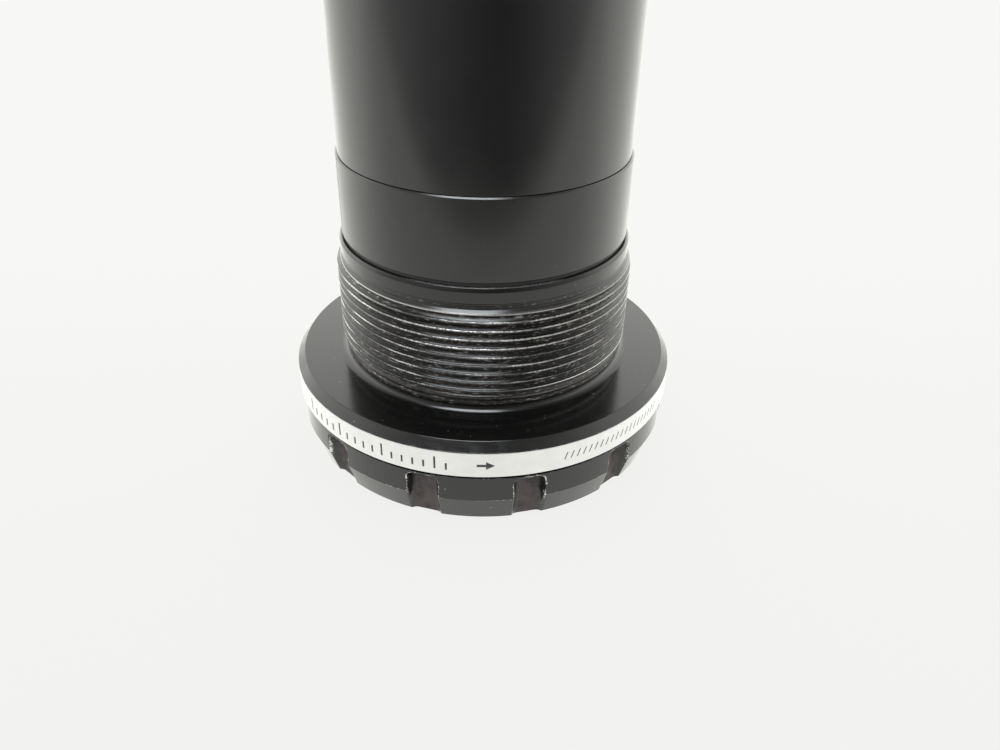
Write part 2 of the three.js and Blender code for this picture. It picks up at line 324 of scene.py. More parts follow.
def add_object(name, data):
    made = bpy.data.objects.new(name, data)
    bpy.context.scene.collection.objects.link(made)
    return made


def mesh_of(name, shape):
    """Makes a mesh of a bmesh, and frees it."""
    mesh = bpy.data.meshes.new(name)
    shape.to_mesh(mesh)
    shape.free()
    return mesh


def add_piece(name, mesh, body, materials, node):
    """A visible piece that rides on a body and stands for a CAD node."""
    piece = add_object(name, mesh)
    for material in materials:
        piece.data.materials.append(material)
    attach(piece, body)
    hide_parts(node)
    return piece


class End:
    """One end of the object. Its side's name goes before the names of its pieces, bodies and nodes."""

    def __init__(self, side, turned_over, hand):
        self.side = side
        self.turned_over = turned_over
        self.hand = hand

    def named(self, name):
        return name if name == "root" or not self.side else f"{self.side}_{name}"

    def add(self, name, surface, body, slot, materials, node):
        mesh = surface.mesh(self.named(name), self.turned_over)
        return add_piece(self.named(name), mesh, self.named(body), materials, self.named(node))

    def turn(self, name, outline, body, slot, material, node, columns=192):
        """A piece whose section is a closed outline of (radius, height)."""
        surface = Surface()
        angles = even_angles(columns)
        surface.add_ring(*columns_of(outline, angles), angles)
        return self.add(name, surface, body, slot, [material], node)


# Cup

COLUMNS_PER_NOTCH = 50
BARREL_SHARE = 3
NOTCH_TOP_ROWS = (6.25, 6.2, 6.13, 6.05, 5.93, 5.78, 5.6, 5.35, 5.05, 4.5)
NOTCH_CUT_SHARE = 0.98
WALL_OFFSETS = (0, 0.35, 0.65, 0.87, 1.03, 1.17, 1.3, 1.41, 1.51, 1.6, 1.67, 1.73, 1.78, 1.83, 1.88, 1.97)
# One turn of the thread: lift above the crest's middle, radius and wear
THREAD_SECTION = (
    (-0.11, CREST_RADIUS - 0.02, 0.1),
    (-0.06, CREST_RADIUS, 0.4),
    (0.05, CREST_RADIUS, 1.0),
    (0.1, CREST_RADIUS - 0.02, 1.0),
    (0.145, CREST_RADIUS - 0.07, 0.5),
    (0.19, CREST_RADIUS - 0.14, 0.0),
    (0.29, CREST_RADIUS - 0.3, 0.0),
    (0.47, ROOT_RADIUS + 0.04, 0.0),
    (0.53, ROOT_RADIUS, 0.0),
    (0.59, ROOT_RADIUS + 0.04, 0.0),
)


def smooth_step(value, low, high):
    share = np.clip((value - low) / (high - low), 0, 1)
    return share * share * (3 - 2 * share)


def notch_angles():
    """Columns round the flange, close together where the walls of the notches are."""
    pitch = FULL_TURN / NOTCH_COUNT
    wall = np.array(WALL_OFFSETS) / NOTCH_REFERENCE_RADIUS
    between = COLUMNS_PER_NOTCH // 2 - len(wall) + 1
    far = np.linspace(wall[-1], pitch / 2, between + 1)[1:]
    right = np.concatenate([wall, far])
    one = np.concatenate([-right[::-1][1:-1], right])
    return np.concatenate([NOTCH_PHASE + i * pitch + one for i in range(NOTCH_COUNT)])


def notch_depth(angles, height):
    """Depth of each point in a notch, from 0 to 1, with its angle from the middle and its distance outside.

    The notch's edge wavers a little, as a rough milled one does.
    """
    pitch = FULL_TURN / NOTCH_COUNT
    local = (angles - NOTCH_PHASE + pitch / 2) % pitch - pitch / 2
    number = np.round((angles - NOTCH_PHASE) / pitch)[:, None]
    side = np.sign(local)[:, None]
    level = height[None, :]
    waver = 0.05 * np.sin(2.3 * level + 5 * number + side) + 0.03 * np.sin(6.1 * level + 3 * number)
    across = np.abs(local)[:, None] * NOTCH_REFERENCE_RADIUS - (NOTCH_HALF_WIDTH - NOTCH_CORNER) + waver
    up = level - (NOTCH_HEIGHT - NOTCH_CORNER) + 0.05 * np.sin(150 * local[:, None] + 2 * number)
    outside = np.hypot(np.maximum(across, 0), np.maximum(up, 0))
    distance = outside + np.minimum(np.maximum(across, up), 0) - NOTCH_CORNER
    inward = np.clip(-distance / NOTCH_WALL, 0, 1)
    return 1 - (1 - inward) ** 3, local, distance


def flange_outline():
    """The section of the flange, from the foot of the thread outward, down and in to the bore."""
    fillet_height = THREAD_BOTTOM - 2 * SEAM_GAP - FLANGE_HEIGHT
    angles = np.linspace(math.pi, 1.5 * math.pi, 11)
    across, up = FILLET_WIDTH * (1 + np.cos(angles)), fillet_height * (1 + np.sin(angles))
    fillet = np.stack([RELIEF_RADIUS + across, FLANGE_HEIGHT + up], axis=1)
    below = rounded(
        [
            (RELIEF_RADIUS + FILLET_WIDTH + 0.1, FLANGE_HEIGHT, 0),
            (SHOULDER_RADIUS, FLANGE_HEIGHT, 0.1),
            (FLANGE_RADIUS, BAND_TOP, 0.06),
            (BAND_SEAT_RADIUS, BAND_TOP, 0.03),
            (BAND_SEAT_RADIUS, BAND_BOTTOM, 0.05),
            (GROOVE_RADIUS, BAND_BOTTOM, 0.1),
            (GROOVE_RADIUS, RING_TOP, 0.1),
            (RING_RADIUS, RING_TOP, 0.08),
            *((RING_RADIUS, height, 0) for height in NOTCH_TOP_ROWS),
            (RING_RADIUS, TAPER_HEIGHT, 0.12),
            (RIM_RADIUS + 0.5, TAPER_HEIGHT * 0.48, 0),
            (RIM_RADIUS, 0, 0.14),
            (SEAT_RADIUS, 0, 0.1),
            (SEAT_RADIUS, SEAT_END, 0.1),
            (STOP_RADIUS, SEAT_END, 0.05),
            (STOP_RADIUS, STOP_END, 0.05),
            (CUP_BORE_RADIUS, STOP_END, 0.1),
            (CUP_BORE_RADIUS, STOP_END + 0.3, 0),
        ]
    )
    return np.concatenate([fillet, below])


def flange(surface, angles):
    outline = flange_outline()
    radius, height = columns_of(outline, angles)
    depth, local, distance = notch_depth(angles, outline[:, 1])
    on_ring = (outline[:, 1] < RING_TOP - 0.001) & (outline[:, 0] > NOTCH_FLOOR_RADIUS - 0.5)
    floor = NOTCH_FLOOR_RADIUS / np.cos(local)[:, None]
    cut = np.where(on_ring[None, :], NOTCH_CUT_SHARE * depth * np.maximum(radius - floor, 0), 0)
    on_lip = on_ring[None, :] & (radius > GROOVE_RADIUS)
    values = {
        "chipped": np.where(on_lip, 1 - smooth_step(np.abs(distance), 0.03, 0.15), 0),
        "notch": np.where(on_ring[None, :], smooth_step(depth, 0.5, 1.0), 0) * (radius > NOTCH_FLOOR_RADIUS),
    }
    index = surface.add_points(place_columns(radius - cut, height, angles), values)
    surface.add_faces(index)
    return index


def thread_limit(height):
    """The greatest radius of the thread: it runs out at its foot, and a chamfer starts it at the neck."""
    run_out = np.interp(height, [THREAD_BOTTOM, RUN_OUT_TOP], [RELIEF_RADIUS, CREST_RADIUS])
    start = np.interp(height, [THREAD_TOP, NECK_BOTTOM], [CREST_RADIUS, NECK_RADIUS])
    return np.minimum(run_out, start)


def thread_section():
    """The section of every turn at the front, from the lowest up: rows of height, radius and wear."""
    below = math.ceil((CREST_HEIGHT_AT_FRONT - THREAD_BOTTOM) / THREAD_PITCH) + SPARE_TURNS
    turns = math.ceil((NECK_BOTTOM - THREAD_BOTTOM) / THREAD_PITCH) + 2 * SPARE_TURNS
    return np.array(
        [
            (CREST_HEIGHT_AT_FRONT + (turn - below) * THREAD_PITCH + lift, radius, wear)
            for turn in range(turns)
            for lift, radius, wear in THREAD_SECTION
        ]
    )


def fine_rows(section, angles, hand):
    """The heights of the section, with more rows where the start chamfer cuts the thread.

    The first turn of these opens out of the section's own rows, so that the two ends of the grid meet.
    """
    known = section[:, 0]
    lowest = known[0] + THREAD_PITCH * math.floor((THREAD_TOP - THREAD_PITCH - known[0]) / THREAD_PITCH)
    extra = lowest + THREAD_PITCH / START_ROWS * np.arange(START_TURNS * START_ROWS)
    extra = extra[np.abs(extra[:, None] - known[None, :]).min(axis=1) > THREAD_PITCH / 100]
    rows = np.sort(np.append(known, extra))
    home = known[np.searchsorted(known, rows, side="right") - 1]
    turned = (angles[:, None] - angles[0]) / FULL_TURN
    opened = turned if hand > 0 else 1 - turned
    opened = np.where(rows < lowest + THREAD_PITCH, opened, 1.0)
    return home + (rows - home) * opened


def thread_rows(angles, hand):
    """Rows that climb with the helix, as columns of radius, height, wear, bare and cut.

    Wear is on the crests, and bare on the face of the start chamfer. Cut is how far the full thread would
    stand out of the run-out or the chamfer: 0 at the edge that they leave, and negative where they miss it.
    """
    section = thread_section()
    rows = fine_rows(section, angles, hand)
    full = np.interp(rows, section[:, 0], section[:, 1])
    worn = np.interp(rows, section[:, 0], section[:, 2])
    height = rows + hand * angles[:, None] / FULL_TURN * THREAD_PITCH
    kept = np.where(height > NECK_BOTTOM - ROW_SNAP, NECK_BOTTOM, height)
    kept = np.where(height < THREAD_BOTTOM + ROW_SNAP, THREAD_BOTTOM, kept)
    on_thread = kept == height
    limit = thread_limit(kept)
    radius = np.where(on_thread, np.minimum(full, limit), limit)
    wear = np.where(on_thread, worn, 0) * smooth_step(radius, ROOT_RADIUS, CREST_RADIUS - 0.25)
    bare = smooth_step(kept, THREAD_TOP - 0.25, THREAD_TOP) * smooth_step(radius - limit, -0.06, -0.01)
    cut = np.where(on_thread, full - limit, 1.0)
    return radius, kept, wear, bare, cut


def barrel(surface, angles, hand):
    """The thread, the lip above it and the bore inside, as one grid."""
    radius, height, wear, bare, cut = thread_rows(angles, hand)
    lip = rounded(
        [
            (NECK_RADIUS, NECK_BOTTOM, 0),
            (NECK_RADIUS, NECK_TOP, 0.08),
            (LIP_RADIUS, LIP_BOTTOM, 0.08),
            (LIP_RADIUS, LIP_SHOULDER, 0.3),
            (LIP_TOP_RADIUS, CUP_LENGTH, 0.06),
            (MOUTH_RADIUS, CUP_LENGTH, 0.05),
            (CUP_BORE_RADIUS, MOUTH_BOTTOM, 0.1),
            (CUP_BORE_RADIUS, STOP_END + 0.6, 0),
        ]
    )

    def with_ends(foot, thread, lip_values):
        foot_row = np.full((len(angles), 1), foot)
        lip_rows = np.broadcast_to(lip_values, (len(angles), len(lip)))
        return np.concatenate([foot_row, thread, lip_rows], axis=1)

    wide_radius = with_ends(RELIEF_RADIUS, radius, lip[:, 0])
    wide_height = with_ends(THREAD_BOTTOM - SEAM_GAP, height, lip[:, 1])
    grime = 1 - smooth_step(radius, ROOT_RADIUS + 0.03, CREST_RADIUS - 0.1)
    values = {
        "wear": with_ends(0.0, wear, 0.0),
        "bare": with_ends(0.0, bare, 0.0),
        "cut": with_ends(1.0, cut, 1.0),
        "grime": with_ends(0.0, grime, 0.0),
    }
    index = surface.add_points(place_columns(wide_radius, wide_height, angles), values)
    surface.add_faces(index, close_columns=False)
    return index


def make_cup(end):
    surface = Surface()
    fine_angles = notch_angles()
    outer = flange(surface, fine_angles)
    coarse_angles = fine_angles[::BARREL_SHARE]
    inner = barrel(surface, np.append(coarse_angles, coarse_angles[0] + FULL_TURN), end.hand)[:-1]
    surface.stitch(outer[:, 0], inner[:, 0], BARREL_SHARE)
    surface.stitch(outer[:, -1], inner[:, -1], BARREL_SHARE)
    end.add("cup_body", surface, "root", "anodised_cup", [ANODISED], "cup")


# Label band

LABEL_THICKNESS = 0.14
INK_LIFT = 0.006
TICK_STEP = 1.25
HATCH_STEP = 0.78


def on_band(along, height, radius):
    """A point of the band, from its distance round from the front and its height."""
    angle = along / LABEL_RADIUS
    return (radius * math.sin(angle), -radius * math.cos(angle), height)


def ink_mark(surface, corners):
    """A thin closed mark laid on the band. Corners are (distance round, height), the lower two first."""
    low_start, low_end, high_start, high_end = corners
    points = []
    for low, high in ((low_start, high_start), (low_end, high_end)):
        points += [on_band(*corner, LABEL_RADIUS + INK_LIFT) for corner in (low, high)]
        points += [on_band(*corner, LABEL_RADIUS - INK_LIFT) for corner in (high, low)]
    sides = [(i, i + 4, (i + 1) % 4 + 4, (i + 1) % 4) for i in range(4)]
    surface.patch(points, [(0, 1, 2, 3), (7, 6, 5, 4), *sides], 1)


def upright_mark(surface, start, end, bottom, top, lean=0.0):
    """A four-sided mark that may lean to the right."""
    ink_mark(surface, [(start, bottom), (end, bottom), (start + lean, top), (end + lean, top)])


def arrow_mark(surface, start, length, middle):
    """A plain arrow that points to the right."""
    half, head_half, blunt = 0.16, 0.52, 0.02
    joint = start + 0.52 * length
    tip = joint + 0.48 * length
    upright_mark(surface, start, joint, middle - half, middle + half)
    low, high = (joint, middle - head_half), (joint, middle + head_half)
    ink_mark(surface, [low, (tip, middle - blunt), high, (tip, middle + blunt)])


def tick_run(surface, start, end, bottom, tall, short):
    """Ruler marks between two places, every fifth one taller."""
    half = 0.11
    for i in range(int((end - start) / TICK_STEP) + 1):
        along = start + i * TICK_STEP
        top = bottom + (tall if i % 5 == 0 else short)
        upright_mark(surface, along - half, along + half, bottom, top)


def hatch_run(surface, start, end, bottom, height):
    """Slanted strokes between two places."""
    half, lean = 0.065, 0.34
    for i in range(int((end - start) / HATCH_STEP) + 1):
        along = start + i * HATCH_STEP
        upright_mark(surface, along - half, along + half, bottom, bottom + height, lean)


def make_label(end):
    surface = Surface()
    inner = LABEL_RADIUS - LABEL_THICKNESS
    outline = ring_outline(inner, LABEL_RADIUS, LABEL_BOTTOM, LABEL_TOP, 0.02, 0.03)
    angles = even_angles(360)
    surface.add_ring(*columns_of(outline, angles), angles)
    middle = (LABEL_BOTTOM + LABEL_TOP) / 2
    half_turn = math.pi * LABEL_RADIUS
    for offset in (0, half_turn):
        arrow_mark(surface, offset - 0.7, 1.9, middle)
        tick_run(surface, offset - 24, offset - 4, middle - 0.8, 1.6, 0.9)
        hatch_run(surface, offset + 9, offset + 24, middle - 0.45, 0.9)
    end.add("label", surface, "root", "label", [LABEL, INK], "label_band")


# Bearing


def make_race(end, place, body, corners, start, stop):
    """A bearing ring: rounded corners outside, and a groove for the balls."""
    groove = arc(PITCH_RADIUS, BEARING_MIDDLE, RACE_RADIUS, start, stop, GROOVE_STEPS)
    outline = np.concatenate([rounded(corners), groove])
    end.turn(f"{place}_race", outline, body, "bearing_steel", RING_STEEL, f"bearing_{place}_ring")


def make_bearing(end):
    low_seat, high_seat = BEARING_BOTTOM + SEAL_SEAT_DEPTH, BEARING_TOP - SEAL_SEAT_DEPTH
    outside = [
        (OUTER_LAND, low_seat, 0),
        (SEAL_SEAT_RADIUS, low_seat, 0.05),
        (SEAL_SEAT_RADIUS, BEARING_BOTTOM, 0.1),
        (BEARING_RADIUS, BEARING_BOTTOM, 0.35),
        (BEARING_RADIUS, BEARING_TOP, 0.35),
        (SEAL_SEAT_RADIUS, BEARING_TOP, 0.1),
        (SEAL_SEAT_RADIUS, high_seat, 0.05),
        (OUTER_LAND, high_seat, 0),
    ]
    inside = [
        (INNER_LAND, BEARING_MIDDLE + INNER_LAND_START, 0),
        (INNER_LAND, BEARING_TOP, 0.15),
        (BEARING_BORE, BEARING_TOP, 0.3),
        (BEARING_BORE, BEARING_BOTTOM, 0.3),
        (INNER_LAND, BEARING_BOTTOM, 0.15),
        (INNER_LAND, BEARING_MIDDLE - INNER_LAND_START, 0),
    ]
    outer_edge = math.acos((OUTER_LAND - PITCH_RADIUS) / RACE_RADIUS)
    inner_edge = math.acos((PITCH_RADIUS - INNER_LAND) / RACE_RADIUS)
    make_race(end, "outer", "root", outside, outer_edge, -outer_edge)
    make_race(end, "inner", "rotor", inside, math.pi + inner_edge, math.pi - inner_edge)
    make_seal(end, "outboard")
    make_seal(end, "inboard")
    make_cage(end)
    make_balls(end)


def make_seal(end, place):
    """A rubber shield with a raised rim, a dished web and a thin lip on the inner ring."""
    low, high = BEARING_BOTTOM + 0.1, BEARING_BOTTOM + 0.75
    outline = rounded(
        [
            (SEAL_LIP_RADIUS, low + 0.22, 0.05),
            (SEAL_LIP_RADIUS + 0.35, low + 0.1, 0.08),
            (SEAL_LIP_RADIUS + 0.6, low + 0.22, 0.06),
            (SEAL_RADIUS - 0.5, low + 0.22, 0.06),
            (SEAL_RADIUS - 0.35, low, 0.06),
            (SEAL_RADIUS, low, 0.12),
            (SEAL_RADIUS, high, 0.08),
            (SEAL_LIP_RADIUS + 0.4, high, 0.08),
            (SEAL_LIP_RADIUS, high - 0.1, 0.08),
        ],
        closed=True,
    )
    if place == "inboard":
        outline = (outline * (1, -1) + (0, 2 * BEARING_MIDDLE))[::-1]
    end.turn(f"{place}_shield", outline, "root", "seal_rubber", RUBBER, f"seal_{place}")


def make_cage(end):
    """The ball cage: a ring with a round pocket for each ball."""
    outline = ring_outline(CAGE_INNER_RADIUS, CAGE_RADIUS, CAGE_BOTTOM, CAGE_TOP, 0.15, 0.15)
    piece = end.turn("cage", outline, "ball_set", "cage_nylon", NYLON, "bearing_cage", columns=144)
    cutter_shape = bmesh.new()
    for i in range(BALL_COUNT):
        centre = ball_centre(i, end.turned_over)
        lie = Matrix.Rotation(math.atan2(centre.y, centre.x), 4, "Z") @ Matrix.Rotation(math.pi / 2, 4, "Y")
        bmesh.ops.create_cone(
            cutter_shape,
            cap_ends=True,
            segments=32,
            radius1=POCKET_RADIUS * MM,
            radius2=POCKET_RADIUS * MM,
            depth=POCKET_DEPTH * MM,
            matrix=Matrix.Translation(centre) @ lie,
        )
    cutter = add_object("pockets", mesh_of("pockets", cutter_shape))
    cut = piece.modifiers.new("pockets", "BOOLEAN")
    cut.operation = "DIFFERENCE"
    cut.solver = "EXACT"
    cut.object = cutter
    bpy.context.view_layer.update()
    evaluated = piece.evaluated_get(bpy.context.evaluated_depsgraph_get())
    finished = bpy.data.meshes.new_from_object(evaluated)
    piece.modifiers.clear()
    piece.data = finished
    bpy.data.objects.remove(cutter)
    finished.set_sharp_from_angle(angle=SHARP_ANGLE)


def ball_centre(i, turned_over):
    """The CAD puts the first ball at the back and goes round to the left."""
    angle = i * FULL_TURN / BALL_COUNT
    x, y, z = -PITCH_RADIUS * math.sin(angle), PITCH_RADIUS * math.cos(angle), BEARING_MIDDLE
    if turned_over:
        y, z = -y, OVERALL_LENGTH - z
    return Vector((x, y, z)) * MM


def make_balls(end):
    shape = bmesh.new()
    bmesh.ops.create_icosphere(shape, subdivisions=3, radius=BALL_RADIUS * MM)
    mesh = mesh_of(end.named("ball"), shape)
    mesh.shade_smooth()
    mesh.materials.append(BALL_STEEL)
    for i in range(BALL_COUNT):
        name, node = end.named(f"steel_ball_{i + 1:02d}"), end.named(f"ball_{i + 1:02d}")
        own = mesh.copy()
        own.transform(Matrix.Translation(ball_centre(i, end.turned_over)))
        add_piece(name, own, end.named("ball_set"), [], node)


# Dust cover, sleeve and O-ring


def make_cover(end):
    outline = rounded(
        [
            (COVER_BORE, COVER_BOTTOM + 0.1, 0.12),
            (COVER_BORE + 0.35, COVER_BOTTOM, 0.1),
            (COVER_BORE + 1.3, COVER_BOTTOM, 0.1),
            (COVER_BORE + 1.5, COVER_BOTTOM + 0.18, 0.1),
            (COVER_RADIUS - 1.35, COVER_BOTTOM + 0.18, 0.1),
            (COVER_RADIUS - 1.15, COVER_BOTTOM, 0.1),
            (COVER_RADIUS - 0.25, COVER_BOTTOM, 0.1),
            (COVER_RADIUS, COVER_BOTTOM + 0.25, 0.1),
            (COVER_RADIUS, COVER_DISC_TOP, 0.1),
            (COVER_HUB_RADIUS, COVER_DISC_TOP, 0.15),
            (COVER_HUB_RADIUS, COVER_HUB_TOP, 0.1),
            (COVER_BORE, COVER_HUB_TOP, 0.1),
        ],
        closed=True,
    )
    end.turn("cover", outline, "rotor", "cover_plastic", COVER, "dust_cover", columns=256)


PARTING_ANGLES = (math.radians(-73), math.radians(107))
PARTING_WIDTH = math.radians(0.5)
PARTING_DEPTH = 0.04
PARTING_COLUMNS = (-2, -1, -0.4, 0.4, 1, 2)


def make_collar(end):
    """The moulded collar, with a faint parting line down each side."""
    outline = rounded(
        [
            (SLEEVE_BORE, SPIGOT_BOTTOM, 0.2),
            (CUP_SPIGOT_RADIUS, SPIGOT_BOTTOM, 0.2),
            (CUP_SPIGOT_RADIUS, COLLAR_BOTTOM, 0.1),
            (COLLAR_RADIUS, COLLAR_BOTTOM, 0.12),
            (COLLAR_RADIUS, COLLAR_TOP - COLLAR_CHAMFER, 0.03),
            (COLLAR_RADIUS - COLLAR_CHAMFER, COLLAR_TOP, 0.03),
            (TUBE_SPIGOT_RADIUS, COLLAR_TOP, 0.05),
            (TUBE_SPIGOT_RADIUS, SPIGOT_TOP, 0.2),
            (SLEEVE_BORE, SPIGOT_TOP, 0.2),
        ],
        closed=True,
    )
    fine = [centre + offset * PARTING_WIDTH for centre in PARTING_ANGLES for offset in PARTING_COLUMNS]
    angles = np.sort(np.concatenate([even_angles(240), np.array(fine) % FULL_TURN]))
    radius, height = columns_of(outline, angles)
    for centre in PARTING_ANGLES:
        away = np.abs((angles - centre + math.pi) % FULL_TURN - math.pi)
        line = PARTING_DEPTH * (1 - smooth_step(away, 0.3 * PARTING_WIDTH, 1.1 * PARTING_WIDTH))
        radius = radius - line[:, None] * (radius > COLLAR_RADIUS - 0.02)
    surface = Surface()
    surface.add_ring(radius, height, angles)
    end.add("collar", surface, "root", "collar_plastic", [COLLAR], "sleeve_collar")


def make_o_ring(end):
    _, bottom, top = node_span("drive_sleeve_o_ring")
    centre_height = (bottom + top) / 2
    centre_radius = CUP_SPIGOT_RADIUS + 0.05 + O_RING_RADIUS
    outline = arc(centre_radius, centre_height, O_RING_RADIUS, 0, FULL_TURN, 20)[:-1]
    end.turn("o_ring", outline, "root", "seal_rubber", RUBBER, "sleeve_o_ring")


def make_tube(end):
    outline = ring_outline(TUBE_BORE, TUBE_RADIUS, TUBE_BOTTOM, TUBE_TOP, 0.06, 0.03)
    end.turn("sleeve_tube", outline, "root", "tube_black", TUBE, "centre_tube", columns=256)


# Materials


class Nodes:
    """A node tree under construction, with short names for the nodes it uses."""

    def __init__(self, tree):
        self.tree = tree

    def feed(self, socket, value):
        """Gives a socket its value: another node's output or a constant."""
        if isinstance(value, bpy.types.NodeSocket):
            self.tree.links.new(value, socket)
        else:
            socket.default_value = value

    def node(self, kind, inputs=(), **settings):
        made = self.tree.nodes.new(f"ShaderNode{kind}")
        for key, value in settings.items():
            setattr(made, key, value)
        for key, value in dict(inputs).items():
            self.feed(made.inputs[key], value)
        return made

    def maths(self, operation, *values):
        return self.node("Math", dict(enumerate(values)), operation=operation).outputs[0]

    def chain(self, operation, values):
        return functools.reduce(lambda first, second: self.maths(operation, first, second), values)

    def plus(self, *values):
        return self.chain("ADD", values)

    def times(self, *values):
        return self.chain("MULTIPLY", values)

    def most(self, *values):
        return self.chain("MAXIMUM", values)

    def band(self, value, low, high, to_low=0.0, to_high=1.0):
        """A smooth step from one level to another, between two values."""
        inputs = {"Value": value, "From Min": low, "From Max": high, "To Min": to_low, "To Max": to_high}
        return self.node("MapRange", inputs, interpolation_type="SMOOTHSTEP").outputs["Result"]

    def blend(self, share, first, second):
        """A colour between two."""
        return self.node("Mix", {0: share, 6: first, 7: second}, data_type="RGBA").outputs[2]


class Look(Nodes):
    """A material under construction. Places and distances in it are in millimetres."""

    def __init__(self, name, **sockets):
        self.material = bpy.data.materials.new(name)
        self.material.use_nodes = True
        super().__init__(self.material.node_tree)
        self.shader = self.tree.nodes["Principled BSDF"]
        self.connect(**sockets)

    def connect(self, **sockets):
        for key, value in sockets.items():
            self.feed(self.shader.inputs[key.replace("_", " ")], value)
        return self.material

    def show(self, shader):
        """Puts another shader in the Principled one's place."""
        self.tree.nodes.remove(self.shader)
        self.feed(self.tree.nodes["Material Output"].inputs["Surface"], shader.outputs[0])
        return self.material

    def value(self, name):
        return self.node("Attribute", attribute_name=name).outputs["Fac"]

    @functools.cached_property
    def place(self):
        """Position on the object."""
        coordinates = self.node("TexCoord").outputs["Object"]
        return self.node("VectorMath", {0: coordinates, 3: 1 / MM}, operation="SCALE").outputs[0]

    @functools.cached_property
    def round_place(self):
        """Position as x, y and z, and the distance from the axis."""
        x, y, z = self.node("SeparateXYZ", {0: self.place}).outputs
        return x, y, z, self.maths("SQRT", self.plus(self.times(x, x), self.times(y, y)))

    @functools.cached_property
    def section(self):
        """Radius from the axis, and height above the nearer outer face."""
        _, _, z, radius = self.round_place
        return radius, self.maths("MINIMUM", z, self.maths("SUBTRACT", OVERALL_LENGTH, z))

    def axis_share(self):
        """1 at the front and the back of the object, and 0 at its sides."""
        _, y, _, radius = self.round_place
        return self.maths("ABSOLUTE", self.maths("DIVIDE", y, radius))

    def right_share(self):
        """1 at the right-hand side of the object, 0 at the front and the back, and -1 at the left."""
        x, _, _, radius = self.round_place
        return self.maths("DIVIDE", x, radius)

    def near_edge(self, corner, core, reach):
        """1 within core of a corner of the section, and 0 beyond reach."""
        across, along = (self.maths("SUBTRACT", *pair) for pair in zip(self.section, corner))
        square = self.plus(self.times(across, across), self.times(along, along))
        return self.band(self.maths("SQRT", square), reach, core)

    def noise(self, scale, detail=3.0, roughness=0.6):
        inputs = {"Vector": self.place, "Scale": scale, "Detail": detail, "Roughness": roughness}
        return self.node("TexNoise", inputs).outputs["Fac"]

    def round_noise(self, along, across, detail=2.0):
        """Noise drawn out round the axis, as a lathe tool leaves: finer across its marks than along them."""
        x, y, z, radius = self.round_place
        stretched = {
            0: self.times(self.maths("DIVIDE", x, radius), along),
            1: self.times(self.maths("DIVIDE", y, radius), along),
            2: self.times(z, across),
        }
        vector = self.node("CombineXYZ", stretched).outputs[0]
        inputs = {"Vector": vector, "W": self.times(radius, across), "Scale": 1.0, "Detail": detail}
        return self.node("TexNoise", inputs, noise_dimensions="4D").outputs["Fac"]

    def specks(self, scale, share):
        """Small dots scattered thinly, 1 inside a dot."""
        cells = self.node("TexVoronoi", {"Vector": self.place, "Scale": scale})
        draw = self.node("SeparateColor", {0: cells.outputs["Color"]}).outputs[0]
        dot = self.band(cells.outputs["Distance"], 0.12, 0.05)
        return self.times(self.maths("LESS_THAN", draw, share), dot)

    def bump(self, height, distance, normal=None):
        inputs = {"Height": height, "Strength": 1.0, "Distance": distance * MM}
        if normal is not None:
            inputs["Normal"] = normal
        return self.node("Bump", inputs).outputs[0]


def grey(level, warm=0.0):
    return (level * (1 + warm), level, level * (1 - warm), 1.0)


CHIPPED_EDGES = (
    ((RING_RADIUS, RING_TOP), 0.4),
    ((RING_RADIUS, TAPER_HEIGHT), 0.5),
    ((RIM_RADIUS, 0.0), 0.8),
    ((FLANGE_RADIUS, BAND_TOP), 0.6),
)
BARE_METAL = (0.66, 0.655, 0.65, 1)
CAKED_DIRT = (0.045, 0.034, 0.027, 1)
NOTCH_FLOOR_STAIN = (0.062, 0.042, 0.044, 1)
LATHE_DEPTH = 0.0008
FLANK_DEPTH = 0.03
CHATTER_DEPTH = 0.012
PIT_DEPTH = 0.022


